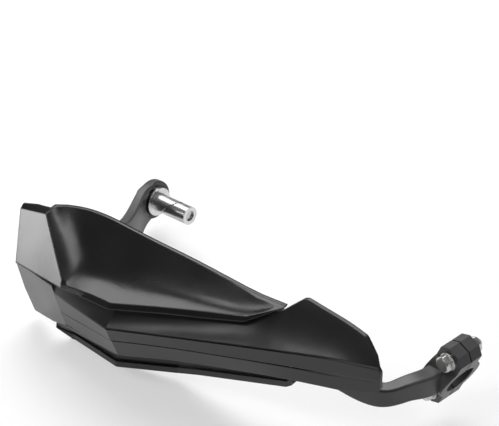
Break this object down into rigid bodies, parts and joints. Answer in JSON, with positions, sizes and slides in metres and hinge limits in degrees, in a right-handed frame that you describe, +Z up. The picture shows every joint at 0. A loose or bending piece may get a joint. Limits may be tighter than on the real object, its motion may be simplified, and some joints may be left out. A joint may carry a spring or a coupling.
{
  "type": "motorcycle hand guard",
  "caption": "Handlebar hand guard: black moulded wind shield on a bent metal bracket, with a split bar clamp at the inner end and an expanding bar-end plug at the outer end.",
  "frame": {"origin": "centre of the bar clamp's bore, midway along its width", "axes": "+X inboard along the handlebar, towards the bike's centre; +Y towards the rider; +Z up"},
  "size_m": [0.3148, 0.1635, 0.1059],
  "materials": {
    "bracket_metal": "satin dark grey powder coat on cast aluminium",
    "zinc_steel": "zinc plated",
    "dark_steel": "dark plated",
    "machined_aluminium": "turned",
    "insert_brass": "knurled",
    "black_plastic": "satin black moulded plastic"
  },
  "bodies": {
    "root": {"bracket": "bracket_metal", "clamp_cap": "bracket_metal", "clamp_bolt_upper": "zinc_steel", "clamp_bolt_lower": "zinc_steel", "clamp_nut_upper": "zinc_steel", "clamp_nut_lower": "zinc_steel", "bar_end_sleeve": "machined_aluminium", "bar_end_wedge": "machined_aluminium", "bar_end_bolt": "zinc_steel", "bar_end_washer": "zinc_steel", "spoiler": "black_plastic", "main_guard": "black_plastic", "lower_plate": "black_plastic", "guard_screw_outer": "dark_steel", "guard_screw_inner": "dark_steel", "guard_insert_outer": "insert_brass", "guard_insert_inner": "insert_brass", "spoiler_screw_outer": "dark_steel", "spoiler_screw_middle": "dark_steel", "spoiler_screw_inner": "dark_steel"}
  },
  "joints": []
}
